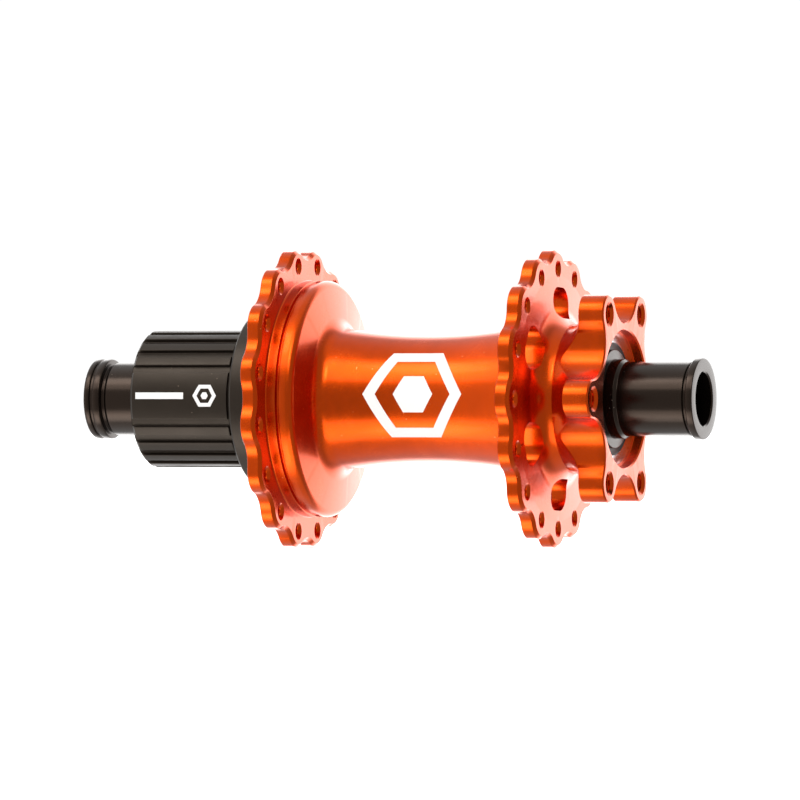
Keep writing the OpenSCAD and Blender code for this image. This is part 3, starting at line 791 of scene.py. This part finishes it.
def rubber(name):
    """Moulded black rubber with a fine uneven skin."""
    n = Nodes(name)
    skin = n.noise(2600, 4, 0.65)
    n.set(base_color=n.mix(n.noise(300, 3), colour(0.004, 0.004, 0.004), colour(0.01, 0.0095, 0.009)),
        roughness=n.remap(skin, 0.3, 0.7, 0.26, 0.38), ior=1.3,
        normal=n.bump(skin, 0.15, 0.00002))
    return n.material


def nylon(name):
    """Moulded natural nylon, a little uneven in colour."""
    n = Nodes(name)
    flow = n.noise(420, 4, 0.6)
    n.set(base_color=n.mix(flow, colour(0.6, 0.46, 0.25), colour(0.72, 0.58, 0.35)),
        roughness=n.remap(flow, 0.3, 0.7, 0.4, 0.6), normal=n.bump(n.noise(3000, 3), 0.2, 0.00003))
    return n.material


def print_white(name):
    """White ink with a slightly broken, matt surface."""
    n = Nodes(name)
    ink = n.noise(5200, 3, 0.6)
    n.set(base_color=n.mix(ink, colour(0.8, 0.79, 0.77), colour(0.93, 0.92, 0.9)),
        roughness=n.remap(ink, 0.3, 0.7, 0.4, 0.58), normal=n.bump(ink, 0.25, 0.00002))
    return n.material


def paint(piece, material):
    """Gives a piece one material and no other."""
    piece.data.materials.clear()
    piece.data.materials.append(material)


def paint_all(shell, freehub, caps, prints):
    """Every piece and every CAD node gets its finish."""
    orange = metal_finish("anodised_orange", (0.68, 0.066, 0.0015), 0.25, 0.25, 0.12,
        coat=1.0, specks=0.5, speck_colour=(0.95, 0.3, 0.12))
    blasted = metal_finish("anodised_black_blasted", (0.006, 0.0042, 0.003), 0.38, 0.05, 0.5,
        metallic=0.0, specks=0.6, speck_colour=(0.2, 0.15, 0.11), gloss_tint=(0.66, 0.53, 0.42))
    glossy = metal_finish("anodised_black", (0.003, 0.002, 0.0015), 0.2, 0.35, 0.08,
        metallic=0.0, specks=0.4, speck_colour=(0.25, 0.2, 0.16), gloss_tint=(0.62, 0.44, 0.34))
    clear = metal_finish("anodised_clear", (0.62, 0.63, 0.65), 0.3, 0.5, 0.15)
    bearing = metal_finish("bearing_steel", (0.62, 0.63, 0.65), 0.16, 0.3, 0.05)
    ball = metal_finish("ball_steel", (0.7, 0.71, 0.73), 0.06, 0.0, 0.03)
    tool = metal_finish("tool_steel", (0.4, 0.4, 0.41), 0.32, 0.2, 0.3)
    spring = metal_finish("spring_steel", (0.45, 0.46, 0.48), 0.25, 0.0, 0.2)
    seal = rubber("seal_rubber")
    cage = nylon("cage_nylon")
    white = print_white("printed_white")
    paint(shell, orange)
    paint(freehub, blasted)
    for cap in caps:
        paint(cap, glossy)
    for mark in prints:
        paint(mark, white)
    looks = {"black_rubber": seal, "cage_polymer": cage, "clear_anodised": clear,
        "black_anodised": blasted, "orange_anodised": orange, "tool_steel": tool,
        "spring_steel": spring, "bearing_steel": bearing}
    for part in frame["record"]["subparts"]:
        node = frame["nodes"][part["node"]]
        balls = part["node"].endswith("balls")
        paint(node, ball if balls else looks[part["material_slot"]])


# ---------------------------------------------------------------- stage, light and camera

def stage_floor():
    """A pale table that is lit from below as well, so that it throws no dark image into the metal."""
    bpy.ops.mesh.primitive_plane_add(size=12, location=(0, 0, cad_box[0][2] - 0.0002))
    floor = bpy.context.object
    floor.name = "floor"
    n = Nodes("floor_white")
    n.set(base_color=n.mix(n.noise(6, 3), colour(0.86, 0.86, 0.86), colour(0.9, 0.9, 0.9)),
        roughness=0.7, emission_color=colour(1, 1, 1), emission_strength=0.7)
    paint(floor, n.material)
    floor.visible_glossy = False
    floor.visible_shadow = False
    floor.visible_diffuse = False


def softbox(name, azimuth, elevation, distance, width, height, radiance):
    """A rectangular light that faces the hub, azimuth from +X towards +Y."""
    a, e = math.radians(azimuth), math.radians(elevation)
    away = Vector((math.cos(a) * math.cos(e), math.sin(a) * math.cos(e), math.sin(e)))
    data = bpy.data.lights.new(name, "AREA")
    data.shape = "RECTANGLE"
    data.size, data.size_y = width, height
    data.energy = radiance * math.pi * width * height
    lamp = bpy.data.objects.new(name, data)
    bpy.context.scene.collection.objects.link(lamp)
    lamp.location = away * distance
    lamp.rotation_euler = away.to_track_quat("Z", "Y").to_euler()
    lamp.visible_camera = False


def room():
    """A white wall behind, a dim room in front; the camera itself sees plain white."""
    world = bpy.data.worlds.new("room")
    bpy.context.scene.world = world
    world.use_nodes = True
    tree = world.node_tree
    tree.nodes.clear()

    def add(kind, **settings):
        node = tree.nodes.new("ShaderNode" + kind)
        for key, value in settings.items():
            setattr(node, key, value)
        return node

    place = add("TexCoord").outputs["Generated"]
    split = add("SeparateXYZ")
    tree.links.new(place, split.inputs[0])

    def ramp(along, start, end, dark, light):
        node = add("MapRange", interpolation_type="SMOOTHSTEP")
        for key, number in (("From Min", start), ("From Max", end), ("To Min", dark),
                ("To Max", light)):
            node.inputs[key].default_value = number
        tree.links.new(along, node.inputs["Value"])
        return node.outputs["Result"]

    wall = add("Math", operation="ADD")
    tree.links.new(ramp(split.outputs[0], -0.62, -0.8, 0, 1.9), wall.inputs[0])
    tree.links.new(ramp(split.outputs[1], -0.2, -0.6, 0.45, 1.0), wall.inputs[1])
    height = add("Math", operation="ABSOLUTE")
    tree.links.new(split.outputs[2], height.inputs[0])
    above = add("Math", operation="ADD")
    tree.links.new(ramp(height.outputs[0], 0.65, 0.92, 0, 0.35), above.inputs[0])
    tree.links.new(wall.outputs[0], above.inputs[1])
    seen, lit, out = add("Background"), add("Background"), add("OutputWorld")
    seen.inputs["Strength"].default_value = 1.05
    seen.inputs["Color"].default_value = (1, 1, 1, 1)
    lit.inputs["Color"].default_value = (1, 1, 1, 1)
    tree.links.new(above.outputs[0], lit.inputs["Strength"])
    choose = add("MixShader")
    tree.links.new(add("LightPath").outputs["Is Camera Ray"], choose.inputs[0])
    tree.links.new(lit.outputs[0], choose.inputs[1])
    tree.links.new(seen.outputs[0], choose.inputs[2])
    tree.links.new(choose.outputs[0], out.inputs["Surface"])


def camera():
    """A long lens at the height of the axle, looking a little from the disc side."""
    azimuth, distance = math.radians(20.435), 1.848
    aim = Vector((0, 0.00075, -0.00024))
    data = bpy.data.cameras.new("camera")
    data.sensor_width = 36
    data.lens = 363.5
    data.clip_start, data.clip_end = 0.05, 100
    cam = bpy.data.objects.new("camera", data)
    bpy.context.scene.collection.objects.link(cam)
    away = Vector((math.cos(azimuth), math.sin(azimuth), 0))
    cam.location = aim + away * distance
    cam.rotation_euler = away.to_track_quat("Z", "Y").to_euler()
    bpy.context.scene.camera = cam


# Name, azimuth, elevation, distance, width, height and radiance of each light
LIGHTS = (
    ("softbox_above", -8, 48, 1.0, 1.3, 0.66, 2.0),
    ("softbox_below", -8, -54, 1.0, 1.3, 0.66, 1.9),
    ("hot_spot_above", -37, 50, 0.98, 0.3, 0.3, 2.6),
    ("hot_spot_below", -37, -50, 0.98, 0.3, 0.3, 1.8),
    ("hot_spot_front", 10, 42, 0.98, 0.26, 0.3, 4.0))

camera()
room()
for light in LIGHTS:
    softbox(*light)
stage_floor()
paint_all(hub_shell(), freehub_body(), (drive_end_cap(), disc_end_cap()), marks())
for node in frame["nodes"].values():
    if not node.hide_render:
        node.data.shade_smooth()

bpy.context.scene.view_settings.view_transform = "Standard"
